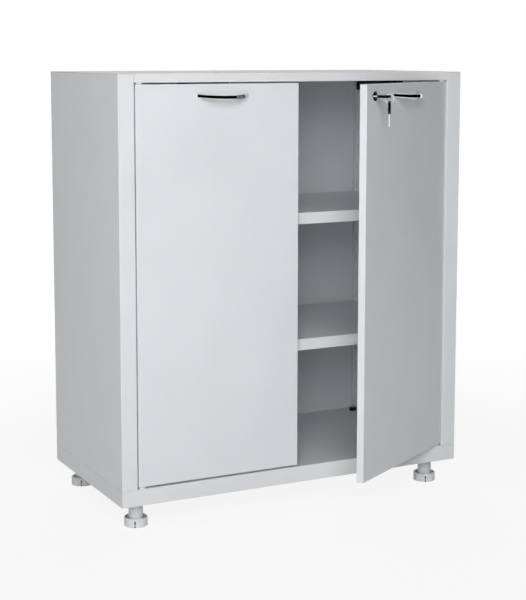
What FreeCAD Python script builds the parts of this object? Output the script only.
import FreeCAD, Part
import math
import os

from FreeCAD import Vector

os.makedirs("parts", exist_ok=True)

# Low two-door steel cabinet on screw feet. Millimetres and degrees.
# It is modelled with its front face at y = 0, its middle at x = 0 and the floor at z = 0,
# and moved at the end so that the origin is the middle of the whole object's box, on the floor.

# Carcass
cabinet_width = 800.0
cabinet_depth = 400.0
ground_clearance = 55.0
base_height = 34.0
base_return = 12.0
rail_height = 18.0
rail_overlap = 1.0
post_width = 34.0
post_return = 20.0

# Sheet metal and fits
sheet = 1.0
bend_radius = 1.5
fit_gap = 0.2
running_gap = 0.05
turn_gap = 0.3
overrun = 5.0
match = 0.001

# Doors
door_height = 808.0
door_thickness = 16.0
door_return = 12.0
door_side_gap = 2.5
door_centre_gap = 3.0
door_bottom_gap = 4.0
door_top_gap = 3.0
stiffener_width = 60.0
stiffener_end_gap = 60.0
right_door_angle = 30.6

# Door pivots
pivot_side_inset = 10.0
pivot_face_inset = 7.0
pin_radius = 3.0
pin_head_radius = 5.0
pin_head_height = 2.0
pin_tail = 4.0
bush_flange_radius = 6.5
bush_neck_radius = 4.5
bush_neck_length = 3.0

# Bow handles and their screws
handle_length = 114.0
handle_inset = 172.0
handle_reach = 30.0
handle_droop = 3.0
handle_height = 9.0
handle_grip = 6.0
handle_foot = 12.0
handle_edge = 1.6
handle_screw_inset = 7.0
handle_screw_depth = 4.5
screw_radius = 2.0
screw_head_radius = 4.0
screw_head_height = 2.4

# Cam lock
lock_edge_inset = 30.5
lock_radius = 9.0
lock_collar_radius = 10.5
lock_collar = 2.5
lock_collar_edge = 0.8
lock_nut_flats = 22.0
lock_nut_thickness = 3.2
lock_return_gap = 1.0
plug_radius = 6.5
plug_recess = 0.3
plug_stub_radius = 4.0
cam_gap = 0.4
cam_thickness = 2.0
cam_width = 14.0
cam_reach = 36.0
cam_screw_depth = 2.0

# Keys and ring
key_blade_length = 25.0
key_blade_width = 7.0
key_blade_thickness = 2.5
key_tang = 8.0
key_exposed = 7.0
keyway_gap = 0.3
key_head_length = 26.0
key_head_width = 18.0
key_head_thickness = 5.6
key_head_corner = 6.0
key_head_edge = 0.8
key_hole_radius = 6.5
key_rim = 2.2
key_cut_width = 2.0
key_cut_depth = 2.2
key_cut_shares = (0.5, 1.0, 0.4, 0.8, 0.6)
ring_radius = 8.5
ring_wire_radius = 1.0
ring_gap = 0.2
ring_key_gap = 0.8
ring_turn = 28.0

# Shelves, uprights and clips
shelf_lip = 24.0
shelf_return = 10.0
shelf_side_gap = 2.0
shelf_post_gap = 3.0
shelf_door_gap = 1.0
shelf_rear_gap = 1.0
shelf_seat_gap = 0.1
upright_width = 35.0
upright_depth = 12.0
upright_sheet = 1.2
slot_inset = 6.0
slot_width = 4.0
slot_height = 8.0
slot_pitch = 45.0
slot_first_rise = 21.0
slot_end_gap = 40.0
lower_shelf_rise = 246.0
upper_shelf_rise = 516.0
clip_thickness = 3.0
clip_reach = 16.0
clip_height = 11.0
clip_tip = 4.0
clip_hook = 2.0
clip_hook_drop = 4.0
clip_neck_drop = 2.0

# Magnetic catches
catch_offset = 208.0
catch_width = 108.0
catch_depth = 13.0
catch_drop = 16.0
catch_rail_gap = 1.0
magnet_width = 80.0
magnet_height = 8.0
magnet_drop = 3.0
magnet_gap = 0.5
magnet_seat = 4.0

# Rivets of the back panel
rivet_rows = 5
rivet_end_gap = 60.0
rivet_inset = 16.0
rivet_radius = 1.6
rivet_head_radius = 3.3
rivet_head_height = 1.2
rivet_head_edge = 0.7
rivet_tail_radius = 2.3
rivet_tail = 2.0

# Feet
foot_side_inset = 48.0
foot_front_inset = 48.0
foot_rear_inset = 33.0
cap_radius = 24.0
cap_wall = 3.0
cap_edge = 1.0
cap_floor = 3.0
cap_notches = 6
cap_notch_width = 3.0
cap_notch_depth = 6.0
cap_notch_height = 13.5
cap_notch_turn = 4.0
pad_radius = 19.5
pad_show = 1.0
pad_seat = 1.2
sleeve_top_radius = 13.8
sleeve_low_radius = 15.2
sleeve_dip = 3.5
stud_radius = 5.0
stud_head_radius = 9.0
stud_head_height = 2.0
stud_show = 3.0
nut_flats = 17.0
nut_height = 8.0
thread_pitch = 1.5
thread_turns = 5
thread_spare = 0.5

# Levels and places worked out from the sizes above
half_width = cabinet_width / 2
base_top = ground_clearance + base_height
door_low = base_top + door_bottom_gap
door_high = door_low + door_height
rail_low = door_high + door_top_gap
side_top = rail_low + rail_height - sheet
rail_depth = door_thickness + rail_overlap
post_inner = half_width - post_width
door_hinge_x = post_inner - door_side_gap
door_free_x = door_centre_gap / 2
door_mid_x = (door_hinge_x + door_free_x) / 2
handle_x = door_free_x + handle_inset
pivot_x = door_hinge_x - pivot_side_inset
pivot_y = pivot_face_inset
shelf_front = pivot_y + math.hypot(pivot_side_inset, door_thickness - pivot_face_inset) + shelf_door_gap
handle_z = door_high - door_return - lock_return_gap - lock_nut_flats / 2
back_front = cabinet_depth - 2 * sheet

RIGHT = Vector(1, 0, 0)
BACK = Vector(0, 1, 0)
UP = Vector(0, 0, 1)
CENTRE = Vector(0, 0, 0)


# Small makers

def block(x, y, z):
    """A box between the two values given along each axis."""
    return Part.makeBox(x[1] - x[0], y[1] - y[0], z[1] - z[0], Vector(x[0], y[0], z[0]))


def rod(radius, start, length, axis):
    """A round bar that starts at a point and runs along an axis."""
    return Part.makeCylinder(radius, length, start, axis)


def prism(points, run):
    """A flat outline pushed along a straight run."""
    return Part.Face(Part.makePolygon(points + points[:1])).extrude(run)


def hex_bar(flats, start, length, axis, first):
    """A six-sided bar, its size given across the flats."""
    corner = first * (flats / math.sqrt(3))
    points = []
    for turn in range(6):
        points.append(start + FreeCAD.Rotation(axis, 60 * turn).multVec(corner))
    return prism(points, axis * length)


def lies_on(edge, axis, value):
    """True where both ends of an edge have the given value on one axis."""
    return all(abs(getattr(vertex.Point, axis) - value) < match for vertex in edge.Vertexes)


def rounded(shape, radius, chosen):
    """The shape with the edges that pass a test rounded."""
    return shape.makeFillet(radius, [edge for edge in shape.Edges if chosen(edge)])


def mirrored(shape):
    """The same piece on the other side of the cabinet."""
    return shape.mirror(CENTRE, RIGHT)


def both_sides(shape):
    """A piece and its mirror image, as two solids."""
    return [shape, mirrored(shape)]


def group(solids):
    """Separate solids that share one node."""
    return Part.makeCompound(solids)


# Carcass

def foot_places():
    """Foot names with their x and y."""
    x = half_width - foot_side_inset
    rear = cabinet_depth - foot_rear_inset
    return {
        "front_left": (-x, foot_front_inset),
        "front_right": (x, foot_front_inset),
        "rear_left": (-x, rear),
        "rear_right": (x, rear),
    }


def base_pan():
    """Shallow pan that carries the carcass, open below, its skirt turned in at the bottom edge."""
    pan = block((-half_width, half_width), (0, cabinet_depth), (ground_clearance, base_top))
    pan = rounded(pan, bend_radius, lambda edge: not lies_on(edge, "z", ground_clearance))
    inner_x = half_width - sheet
    pan = pan.cut(block((-inner_x, inner_x), (sheet, cabinet_depth - sheet),
                        (ground_clearance + sheet, base_top - sheet)))
    mouth_x = half_width - base_return
    pan = pan.cut(block((-mouth_x, mouth_x), (base_return, cabinet_depth - base_return),
                        (ground_clearance - overrun, ground_clearance + 2 * sheet)))
    for x, y in foot_places().values():
        pan = pan.cut(rod(stud_radius + turn_gap, Vector(x, y, base_top - overrun), 2 * overrun, UP))
    for x in (-pivot_x, pivot_x):
        hole = Vector(x, pivot_y, base_top - overrun)
        pan = pan.cut(rod(bush_neck_radius + running_gap, hole, 2 * overrun, UP))
    return pan


def rivet_heights():
    """Heights of the rivets up one rear flange."""
    low = base_top + rivet_end_gap
    step = (side_top - rivet_end_gap - low) / (rivet_rows - 1)
    return [low + step * row for row in range(rivet_rows)]


def rivet_holes(shape):
    """Drill the rivet holes of the right-hand rear flange."""
    for z in rivet_heights():
        start = Vector(half_width - rivet_inset, cabinet_depth - overrun, z)
        shape = shape.cut(rod(rivet_radius + running_gap, start, 2 * overrun, BACK))
    return shape


def side_panel():
    """Right side: wall, front post with its return, and flanges all round, folded from one sheet."""
    panel = block((post_inner, half_width), (0, cabinet_depth), (base_top, side_top))
    panel = rounded(panel, bend_radius,
                    lambda edge: not lies_on(edge, "x", post_inner) or lies_on(edge, "y", 0))
    inside = (base_top + sheet, side_top - sheet)
    panel = panel.cut(block((post_inner + sheet, half_width - sheet),
                            (sheet, cabinet_depth - sheet), inside))
    panel = panel.cut(block((post_inner - overrun, post_inner + 2 * sheet),
                            (post_return, cabinet_depth - sheet), inside))
    return rivet_holes(panel)


def back_panel():
    """Flat sheet inside the rear flanges of the side panels, taller between them to close the back."""
    y = (back_front, cabinet_depth - sheet)
    wide = half_width - sheet - fit_gap
    panel = block((-wide, wide), y, (base_top + sheet + fit_gap, side_top - sheet - fit_gap))
    between = post_inner - fit_gap
    panel = panel.fuse(block((-between, between), y, (base_top, side_top))).removeSplitter()
    return rivet_holes(mirrored(rivet_holes(panel)))


def top_panel():
    """Flat sheet that closes the cabinet."""
    panel = block((-half_width, half_width), (0, cabinet_depth), (side_top, side_top + sheet))
    flat_edge = lambda edge: lies_on(edge, "z", side_top) or lies_on(edge, "z", side_top + sheet)
    return rounded(panel, bend_radius, lambda edge: not flat_edge(edge))


def top_rail():
    """Channel between the posts, over the doors, open at its back."""
    x = post_inner - fit_gap
    rail = block((-x, x), (0, rail_depth), (rail_low, side_top))
    rail = rounded(rail, bend_radius,
                   lambda edge: lies_on(edge, "y", 0) and lies_on(edge, "z", rail_low))
    rail = rail.cut(block((-half_width, half_width), (sheet, rail_depth + overrun),
                          (rail_low + sheet, side_top - sheet)))
    for pivot in (-pivot_x, pivot_x):
        hole = Vector(pivot, pivot_y, rail_low - overrun)
        rail = rail.cut(rod(bush_neck_radius + running_gap, hole, 2 * overrun, UP))
    return rail


def hinge_bushes():
    """Four flanged plastic bushes that fill the door gap at the pivots."""
    bushes = []
    for level, gap, way in ((base_top, door_bottom_gap, -1), (rail_low, door_top_gap, 1)):
        seat = Vector(pivot_x, pivot_y, level)
        bush = rod(bush_flange_radius, seat, gap - turn_gap, UP * -way)
        bush = bush.fuse(rod(bush_neck_radius, seat, bush_neck_length, UP * way))
        bore = rod(pin_radius + running_gap, seat - UP * (way * (gap + overrun)),
                   gap + bush_neck_length + 2 * overrun, UP * way)
        bush = bush.cut(bore)
        bushes += both_sides(bush.removeSplitter())
    return group(bushes)


def back_rivets():
    """Blind rivets that hold the back panel to the rear flanges."""
    rivets = []
    grip = 2 * sheet
    for z in rivet_heights():
        face = Vector(half_width - rivet_inset, cabinet_depth, z)
        head = rod(rivet_head_radius, face, rivet_head_height, BACK)
        outer = cabinet_depth + rivet_head_height
        head = rounded(head, rivet_head_edge, lambda edge: lies_on(edge, "y", outer))
        shank = rod(rivet_radius, face, grip, -BACK)
        tail = rod(rivet_tail_radius, face - BACK * grip, rivet_tail, -BACK)
        rivets += both_sides(head.fuse([shank, tail]).removeSplitter())
    return group(rivets)


def catch_bodies():
    """Plastic bodies of the magnetic catches, hung under the top panel behind the rail."""
    front = rail_depth + catch_rail_gap
    body = block((catch_offset - catch_width / 2, catch_offset + catch_width / 2),
                 (front, front + catch_depth), (door_high - catch_drop, side_top))
    return group(both_sides(body.cut(magnet(fit_gap))))


def magnet(gap=0):
    """One catch magnet, which faces the door's inner flange; gap makes its pocket."""
    half = magnet_width / 2 + gap
    high = door_high - magnet_drop + gap
    low = door_high - magnet_drop - magnet_height - gap
    seat = rail_depth + catch_rail_gap + magnet_seat
    x = (catch_offset - half, catch_offset + half)
    return block(x, (door_thickness + magnet_gap, seat), (low, high))


def catch_magnets():
    """The two magnets."""
    return group(both_sides(magnet()))


# Shelves

def upright(front):
    """Slotted channel in a right-hand corner, its slots facing the shelf."""
    outer = half_width - sheet
    x = (outer - upright_width, outer)
    z = (base_top + sheet, side_top - sheet)
    web = web_place(front)
    into = 1 if front else -1
    y = sorted((web, web - into * upright_depth))
    channel = block(x, y, z)
    hollow = sorted((web - into * upright_sheet, web - into * (upright_depth + overrun)))
    channel = channel.cut(block((x[0] + upright_sheet, x[1] - upright_sheet), hollow,
                                (z[0] - overrun, z[1] + overrun)))
    slot_x = clip_place()
    count = int((z[1] - slot_end_gap - support_level(0)) / slot_pitch) + 1
    slots = []
    for number in range(count):
        high = support_level(number)
        slots.append(block((slot_x - slot_width / 2, slot_x + slot_width / 2),
                           (web - overrun, web + overrun), (high - slot_height, high)))
    return channel.cut(slots)


def web_place(front):
    """Depth of an upright's slotted face."""
    if front:
        return post_return + fit_gap + upright_depth
    return back_front - upright_depth


def clip_place():
    """Distance of the slots and clips from the cabinet's middle."""
    return half_width - sheet - upright_width + slot_inset


def support_level(number):
    """Height at which a clip in the given slot carries a shelf."""
    return base_top + slot_first_rise + slot_pitch * number


def nearest_slot(rise):
    """Number of the slot that carries a shelf nearest to a height over the cabinet's floor."""
    return round((rise - slot_first_rise) / slot_pitch)


def shelf_clips(rise):
    """Four hooked plates that carry one shelf."""
    level = support_level(nearest_slot(rise))
    behind = upright_sheet + fit_gap
    neck_low = slot_height - fit_gap
    hook_low = slot_height + clip_hook_drop
    outline = (
        (fit_gap, 0), (clip_reach, 0), (clip_reach, -clip_tip), (fit_gap, -clip_height),
        (fit_gap, -neck_low), (-behind, -neck_low), (-behind, -hook_low),
        (-behind - clip_hook, -hook_low), (-behind - clip_hook, -clip_neck_drop),
        (fit_gap, -clip_neck_drop),
    )
    clips = []
    for front in (True, False):
        into = 1 if front else -1
        x = clip_place() - clip_thickness / 2
        points = [Vector(x, web_place(front) + into * d, level + h) for d, h in outline]
        clips += both_sides(prism(points, RIGHT * clip_thickness))
    return group(clips)


def shelf_outline(inset, z):
    """The shelf's outline, notched round the front posts and drawn in by an inset."""
    side = half_width - sheet - shelf_side_gap - inset
    notch = post_inner - shelf_post_gap - inset
    front = shelf_front + inset
    notch_rear = web_place(True) + shelf_rear_gap + inset
    rear = web_place(False) - shelf_rear_gap - inset
    right = [(notch, front), (notch, notch_rear), (side, notch_rear), (side, rear)]
    left = [(-x, y) for x, y in reversed(right)]
    return [Vector(x, y, z) for x, y in right + left]


def shelf(rise):
    """Folded shelf, open below, its lips turned in at the bottom edge."""
    low = support_level(nearest_slot(rise)) + shelf_seat_gap
    high = low + shelf_lip
    tray = prism(shelf_outline(0, low), UP * shelf_lip)
    tray = rounded(tray, bend_radius,
                   lambda edge: lies_on(edge, "y", shelf_front) and lies_on(edge, "z", high))
    tray = tray.cut(prism(shelf_outline(sheet, low + sheet), UP * (shelf_lip - 2 * sheet)))
    return tray.cut(prism(shelf_outline(shelf_return, low - overrun), UP * (overrun + 2 * sheet)))


# Doors, made as the right-hand door shut

def lock_x():
    """Distance of the lock's axis from the cabinet's middle."""
    return door_free_x + lock_edge_inset


def handle_screw_places():
    """Places of the two handle screws along the door."""
    half = handle_length / 2 - handle_screw_inset
    return (handle_x - half, handle_x + half)


def drill_handle(shape, radius):
    """Drill the two handle holes through the door."""
    for x in handle_screw_places():
        start = Vector(x, -overrun, handle_z)
        shape = shape.cut(rod(radius, start, door_thickness + 2 * overrun, BACK))
    return shape


def drill_lock(shape):
    """Drill the lock hole through the door."""
    start = Vector(lock_x(), -overrun, handle_z)
    return shape.cut(rod(lock_radius + running_gap, start, door_thickness + 2 * overrun, BACK))


def door_pan(locked):
    """Outer skin with its four edges folded back and turned in."""
    pan = block((door_free_x, door_hinge_x), (0, door_thickness), (door_low, door_high))
    pan = rounded(pan, bend_radius, lambda edge: True)
    pan = pan.cut(block((door_free_x + sheet, door_hinge_x - sheet),
                        (sheet, door_thickness - sheet), (door_low + sheet, door_high - sheet)))
    pan = pan.cut(block((door_free_x + door_return, door_hinge_x - door_return),
                        (door_thickness - 2 * sheet, door_thickness + overrun),
                        (door_low + door_return, door_high - door_return)))
    for level in (door_low, door_high):
        start = Vector(pivot_x, pivot_y, level - overrun)
        pan = pan.cut(rod(pin_radius + running_gap, start, 2 * overrun, UP))
    pan = drill_handle(pan, screw_radius + running_gap)
    return drill_lock(pan) if locked else pan


def door_liner(locked):
    """Inner sheet that closes the door from behind, held by the turned-in edges."""
    gap = sheet + fit_gap
    back = door_thickness - sheet
    liner = block((door_free_x + gap, door_hinge_x - gap), (back - sheet, back),
                  (door_low + gap, door_high - gap))
    liner = drill_handle(liner, screw_radius + running_gap)
    return drill_lock(liner) if locked else liner


def door_stiffener():
    """Upright channel between skin and liner."""
    x = (door_mid_x - stiffener_width / 2, door_mid_x + stiffener_width / 2)
    y = (sheet, door_thickness - 2 * sheet)
    z = (door_low + stiffener_end_gap, handle_z - stiffener_end_gap)
    channel = block(x, y, z)
    return channel.cut(block((x[0] + sheet, x[1] - sheet), (y[0] + sheet, y[1] + overrun),
                             (z[0] - overrun, z[1] + overrun)))


def bow(half, reach, z):
    """Arc that stands out from the door by a reach at its middle and droops on its way out."""
    drop = handle_droop * reach / handle_reach
    ends = Vector(handle_x - half, 0, z), Vector(handle_x + half, 0, z)
    return Part.Arc(ends[0], Vector(handle_x, -reach, z - drop), ends[1]).toShape()


def bow_handle():
    """Cast bow, thick at its feet and thinner at the grip."""
    low = handle_z - handle_height / 2
    half = handle_length / 2
    outer = bow(half, handle_reach, low)
    inner = bow(half - handle_foot, handle_reach - handle_grip, low)
    feet = []
    for side in (-1, 1):
        foot = (Vector(handle_x + side * half, 0, low),
                Vector(handle_x + side * (half - handle_foot), 0, low))
        feet.append(Part.makeLine(*foot))
    face = Part.Face(Part.Wire(Part.sortEdges([outer, inner] + feet)[0]))
    handle = face.extrude(UP * handle_height)
    handle = rounded(handle, handle_edge, lambda edge: edge.BoundBox.YLength > match)
    for x in handle_screw_places():
        handle = handle.cut(rod(screw_radius + running_gap, Vector(x, overrun, handle_z),
                                overrun + handle_screw_depth, -BACK))
    return handle


def handle_screws():
    """Two screws that come through the whole door from inside."""
    screws = []
    seat = door_thickness - sheet
    for x in handle_screw_places():
        head = rod(screw_head_radius, Vector(x, seat, handle_z), screw_head_height, BACK)
        shank = rod(screw_radius, Vector(x, seat, handle_z), seat + handle_screw_depth - fit_gap, -BACK)
        screws.append(head.fuse(shank).removeSplitter())
    return group(screws)


def hinge_pins():
    """Upper and lower pivot pins, headed inside the door."""
    pins = []
    for level, gap, way in ((door_low, door_bottom_gap, -1), (door_high, door_top_gap, 1)):
        seat = Vector(pivot_x, pivot_y, level - way * sheet)
        head = rod(pin_head_radius, seat, pin_head_height, UP * -way)
        shank = rod(pin_radius, seat, sheet + gap + pin_tail, UP * way)
        pins.append(head.fuse(shank).removeSplitter())
    return group(pins)


# Lock, made on the shut right-hand door

def lock_back():
    """Depth at which the lock's housing ends."""
    return door_thickness - sheet + lock_nut_thickness + turn_gap


def cam_front():
    """Depth of the cam's front face."""
    return lock_back() + cam_gap


def on_lock(y):
    """Point on the lock's axis."""
    return Vector(lock_x(), y, handle_z)


def lock_housing():
    """Threaded barrel with a round collar on the door's face."""
    collar = rod(lock_collar_radius, on_lock(-lock_collar), lock_collar, BACK)
    collar = rounded(collar, lock_collar_edge, lambda edge: lies_on(edge, "y", -lock_collar))
    housing = collar.fuse(rod(lock_radius, on_lock(0), lock_back(), BACK)).removeSplitter()
    bore = rod(plug_radius + running_gap, on_lock(-lock_collar - overrun),
               lock_back() + lock_collar + 2 * overrun, BACK)
    return housing.cut(bore)


def lock_nut():
    """Six-sided nut behind the liner."""
    seat = on_lock(door_thickness - sheet)
    nut = hex_bar(lock_nut_flats, seat, lock_nut_thickness, BACK, RIGHT)
    return nut.cut(rod(lock_radius + running_gap, seat - BACK * overrun,
                       lock_nut_thickness + 2 * overrun, BACK))


def lock_plug():
    """Turning core with a keyway, and a stub for the cam."""
    front = plug_recess - lock_collar
    plug = rod(plug_radius, on_lock(front), lock_back() - front, BACK)
    stub = rod(plug_stub_radius, on_lock(lock_back()), cam_gap + cam_thickness, BACK)
    plug = plug.fuse(stub).removeSplitter()
    across = key_blade_width / 2 + keyway_gap
    flat = key_blade_thickness / 2 + keyway_gap
    deep = front + key_blade_length - key_exposed + keyway_gap
    keyway = block((lock_x() - across, lock_x() + across), (front - overrun, deep),
                   (handle_z - flat, handle_z + flat))
    cam_back = on_lock(cam_front() + cam_thickness)
    hole = rod(screw_radius + running_gap, cam_back + BACK * overrun, overrun + cam_screw_depth, -BACK)
    return plug.cut([keyway, hole])


def lock_cam():
    """Flat tongue that points away from the door's free edge until it is turned up."""
    front = cam_front()
    half = cam_width / 2
    tip = cam_reach - half
    hub = rod(half, on_lock(front), cam_thickness, BACK)
    arm = block((lock_x(), lock_x() + tip), (front, front + cam_thickness),
                (handle_z - half, handle_z + half))
    end = rod(half, on_lock(front) + RIGHT * tip, cam_thickness, BACK)
    cam = hub.fuse([arm, end]).removeSplitter()
    return cam.cut(rod(plug_stub_radius + running_gap, on_lock(front - overrun),
                       cam_thickness + 2 * overrun, BACK))


def cam_screw():
    """Screw that holds the cam on the plug."""
    seat = on_lock(cam_front() + cam_thickness)
    head = rod(screw_head_radius + plug_recess, seat, screw_head_height, BACK)
    return head.fuse(rod(screw_radius, seat, cam_screw_depth - fit_gap, -BACK)).removeSplitter()


# Keys: made upright, shoulder at the origin, blade down, flat across y

def key_blade():
    """Steel blade with its tang, cut along one edge."""
    half = key_blade_width / 2
    flat = (-key_blade_thickness / 2, key_blade_thickness / 2)
    blade = block((-half, half), flat, (-key_blade_length, key_tang))
    step = key_blade_length / (len(key_cut_shares) + 1)
    for place, share in enumerate(key_cut_shares):
        z = -step * (place + 1)
        depth = key_cut_depth * share
        points = [Vector(half + x, flat[0], z + dz) for x, dz in
                  ((0, -key_cut_width), (-depth, 0), (0, key_cut_width))]
        blade = blade.cut(prism(points, BACK * key_blade_thickness))
    return blade


def key_head():
    """Moulded plastic head with a ring hole."""
    half = key_head_width / 2
    flat = (-key_head_thickness / 2, key_head_thickness / 2)
    head = block((-half, half), flat, (0, key_head_length))
    face_edge = lambda edge: lies_on(edge, "y", flat[0]) or lies_on(edge, "y", flat[1])
    head = rounded(head, key_head_corner, lambda edge: not face_edge(edge))
    head = rounded(head, key_head_edge, face_edge)
    centre = Vector(0, -key_head_thickness, key_head_length - key_rim - key_hole_radius)
    head = head.cut(rod(key_hole_radius, centre, 2 * key_head_thickness, BACK))
    across = key_blade_width / 2 + running_gap
    thick = key_blade_thickness / 2 + running_gap
    return head.cut(block((-across, across), (-thick, thick), (-overrun, key_tang + running_gap)))


def shoulder_y():
    """Depth of the shoulder of the key that is in the lock."""
    return plug_recess - lock_collar - key_exposed


def in_lock(shape):
    """Lay a key flat in the keyway."""
    shape = shape.copy()
    shape.rotate(CENTRE, RIGHT, 90)
    shape.translate(on_lock(shoulder_y()))
    return shape


def rim_centre():
    """Middle of the rim that the ring hangs on."""
    return on_lock(shoulder_y() - key_head_length + key_rim / 2)


def ring_inner():
    """Inner radius of the ring."""
    return ring_radius - ring_wire_radius


def ring_centre():
    """The ring's centre: it hangs with the rim's corners just inside it."""
    half_rim = key_rim / 2 / math.cos(math.radians(ring_turn))
    corner = math.hypot(half_rim, key_head_thickness / 2)
    return rim_centre() - UP * (ring_inner() - corner - ring_gap)


def key_ring():
    """Round wire ring, upright and turned a little on the rim."""
    axis = FreeCAD.Rotation(UP, ring_turn).multVec(RIGHT)
    return Part.makeTorus(ring_radius, ring_wire_radius, ring_centre(), axis)


def ring_bottom():
    """Middle of the wire at the ring's lowest point."""
    return ring_centre() - UP * ring_radius


def on_ring(shape):
    """Hang a key on the ring, its flat square to the ring."""
    hole_top = key_head_length - key_rim
    lift = ring_wire_radius + ring_key_gap - hole_top
    shape = shape.copy()
    shape.rotate(CENTRE, UP, ring_turn)
    shape.translate(ring_bottom() + UP * lift)
    return shape


# Feet

foot_travel = thread_pitch * thread_turns
pad_top = pad_show + pad_seat
cap_inside = pad_top + turn_gap + cap_floor
sleeve_low = cap_inside + stud_head_height + foot_travel + thread_spare
cap_top = sleeve_low + sleeve_dip


def foot_sleeves():
    """Tapered plastic sleeves between the base pan and the caps."""
    sleeves = []
    tall = base_top - sheet - sleeve_low
    for x, y in foot_places().values():
        foot = Vector(x, y, sleeve_low)
        sleeve = Part.makeCone(sleeve_low_radius, sleeve_top_radius, tall, foot, UP)
        bore = rod(stud_radius + turn_gap, foot - UP * overrun, tall + 2 * overrun, UP)
        sleeves.append(sleeve.cut(bore))
    return group(sleeves)


def foot_nuts():
    """Nuts on the cabinet's floor, which the studs screw through."""
    nuts = []
    for x, y in foot_places().values():
        seat = Vector(x, y, base_top)
        nut = hex_bar(nut_flats, seat, nut_height, UP, RIGHT)
        bore = rod(stud_radius + running_gap, seat - UP * overrun, nut_height + 2 * overrun, UP)
        nuts.append(nut.cut(bore))
    return group(nuts)


def foot_pad(x, y):
    """Round floor pad let into the cap."""
    return rod(pad_radius, Vector(x, y, 0), pad_top, UP)


def foot_stud(x, y):
    """Threaded stud whose head sits in the cap."""
    seat = Vector(x, y, cap_inside)
    head = rod(stud_head_radius, seat, stud_head_height, UP)
    shank = rod(stud_radius, seat, base_top + nut_height + stud_show - cap_inside, UP)
    return head.fuse(shank).removeSplitter()


def foot_cap(x, y):
    """Round cup that the sleeve dips into, with a pocket for the pad and slits to turn it by."""
    pocket = pad_top + turn_gap
    inside = cap_radius - cap_wall
    profile = [
        (0, pocket), (pad_radius + turn_gap, pocket), (pad_radius + turn_gap, pad_show),
        (cap_radius, pad_show), (cap_radius, cap_top - cap_edge), (cap_radius - cap_edge, cap_top),
        (inside, cap_top), (inside, cap_inside), (0, cap_inside),
    ]
    points = [Vector(r, 0, z) for r, z in profile]
    cap = Part.Face(Part.makePolygon(points + points[:1])).revolve(CENTRE, UP, 360)
    for turn in range(cap_notches):
        notch = block((cap_radius - cap_notch_depth, cap_radius + overrun),
                      (-cap_notch_width / 2, cap_notch_width / 2),
                      (pad_show - overrun, pad_show + cap_notch_height))
        notch.rotate(CENTRE, UP, cap_notch_turn + 360 * turn / cap_notches)
        cap = cap.cut(notch)
    cap.translate(Vector(x, y, 0))
    return cap


# Assembly

def right_door_nodes():
    """The right door and what rides on it, shut."""
    return {
        "right_door_pan": door_pan(True),
        "right_door_liner": door_liner(True),
        "right_door_stiffener": door_stiffener(),
        "right_handle": bow_handle(),
        "right_handle_screws": handle_screws(),
        "right_hinge_pins": hinge_pins(),
        "lock_housing": lock_housing(),
        "lock_nut": lock_nut(),
        "lock_plug": lock_plug(),
        "lock_cam": lock_cam(),
        "cam_screw": cam_screw(),
        "key_blade": in_lock(key_blade()),
        "key_head": in_lock(key_head()),
        "key_ring": key_ring(),
        "spare_key_blade": on_ring(key_blade()),
        "spare_key_head": on_ring(key_head()),
    }


def left_door_nodes():
    """The left door, the mirror image of the right one but with no lock."""
    return {
        "left_door_pan": mirrored(door_pan(False)),
        "left_door_liner": mirrored(door_liner(False)),
        "left_door_stiffener": mirrored(door_stiffener()),
        "left_handle": mirrored(bow_handle()),
        "left_handle_screws": mirrored(handle_screws()),
        "left_hinge_pins": mirrored(hinge_pins()),
    }


def carcass_nodes():
    """Everything that stays put."""
    return {
        "base_pan": base_pan(),
        "left_side_panel": mirrored(side_panel()),
        "right_side_panel": side_panel(),
        "back_panel": back_panel(),
        "top_panel": top_panel(),
        "top_rail": top_rail(),
        "upright_front_left": mirrored(upright(True)),
        "upright_front_right": upright(True),
        "upright_rear_left": mirrored(upright(False)),
        "upright_rear_right": upright(False),
        "shelf_clips_lower": shelf_clips(lower_shelf_rise),
        "shelf_clips_upper": shelf_clips(upper_shelf_rise),
        "hinge_bushes": hinge_bushes(),
        "back_rivets": back_rivets(),
        "catch_bodies": catch_bodies(),
        "catch_magnets": catch_magnets(),
        "foot_sleeves": foot_sleeves(),
        "foot_nuts": foot_nuts(),
    }


nodes = carcass_nodes()
nodes["lower_shelf"] = shelf(lower_shelf_rise)
nodes["upper_shelf"] = shelf(upper_shelf_rise)
nodes.update(left_door_nodes())
for name, shape in right_door_nodes().items():
    shape.rotate(Vector(pivot_x, pivot_y, 0), UP, right_door_angle)
    nodes[name] = shape
for place, (x, y) in foot_places().items():
    nodes["foot_cap_" + place] = foot_cap(x, y)
    nodes["foot_stud_" + place] = foot_stud(x, y)
    nodes["foot_pad_" + place] = foot_pad(x, y)

whole = Part.makeCompound(list(nodes.values())).optimalBoundingBox(False)
middle = Vector((whole.XMin + whole.XMax) / 2, (whole.YMin + whole.YMax) / 2, 0)
for name, shape in nodes.items():
    shape.translate(-middle)
    shape.exportStep("parts/" + name + ".step")


# Joint axes and levels in the finished frame, for the record

def told(point):
    """A point of the shut cabinet in the finished frame."""
    return [round(value, 4) for value in point - middle]


def told_open(point):
    """A point of the shut right door in the finished frame, with the door open."""
    pivot = Vector(pivot_x, pivot_y, 0)
    turn = FreeCAD.Rotation(UP, right_door_angle)
    return told(pivot + turn.multVec(point - pivot))


print("box", [round(value, 3) for value in (whole.XLength, whole.YLength, whole.ZLength)])
print("left pivot", told(Vector(-pivot_x, pivot_y, 0)))
print("right pivot", told(Vector(pivot_x, pivot_y, 0)))
print("lock axis", told_open(on_lock(0)))
print("ring on key", told_open(rim_centre()))
print("spare key on ring", told_open(ring_bottom()))
for place, (x, y) in foot_places().items():
    print("foot", place, told(Vector(x, y, 0)))
print("foot travel", foot_travel)
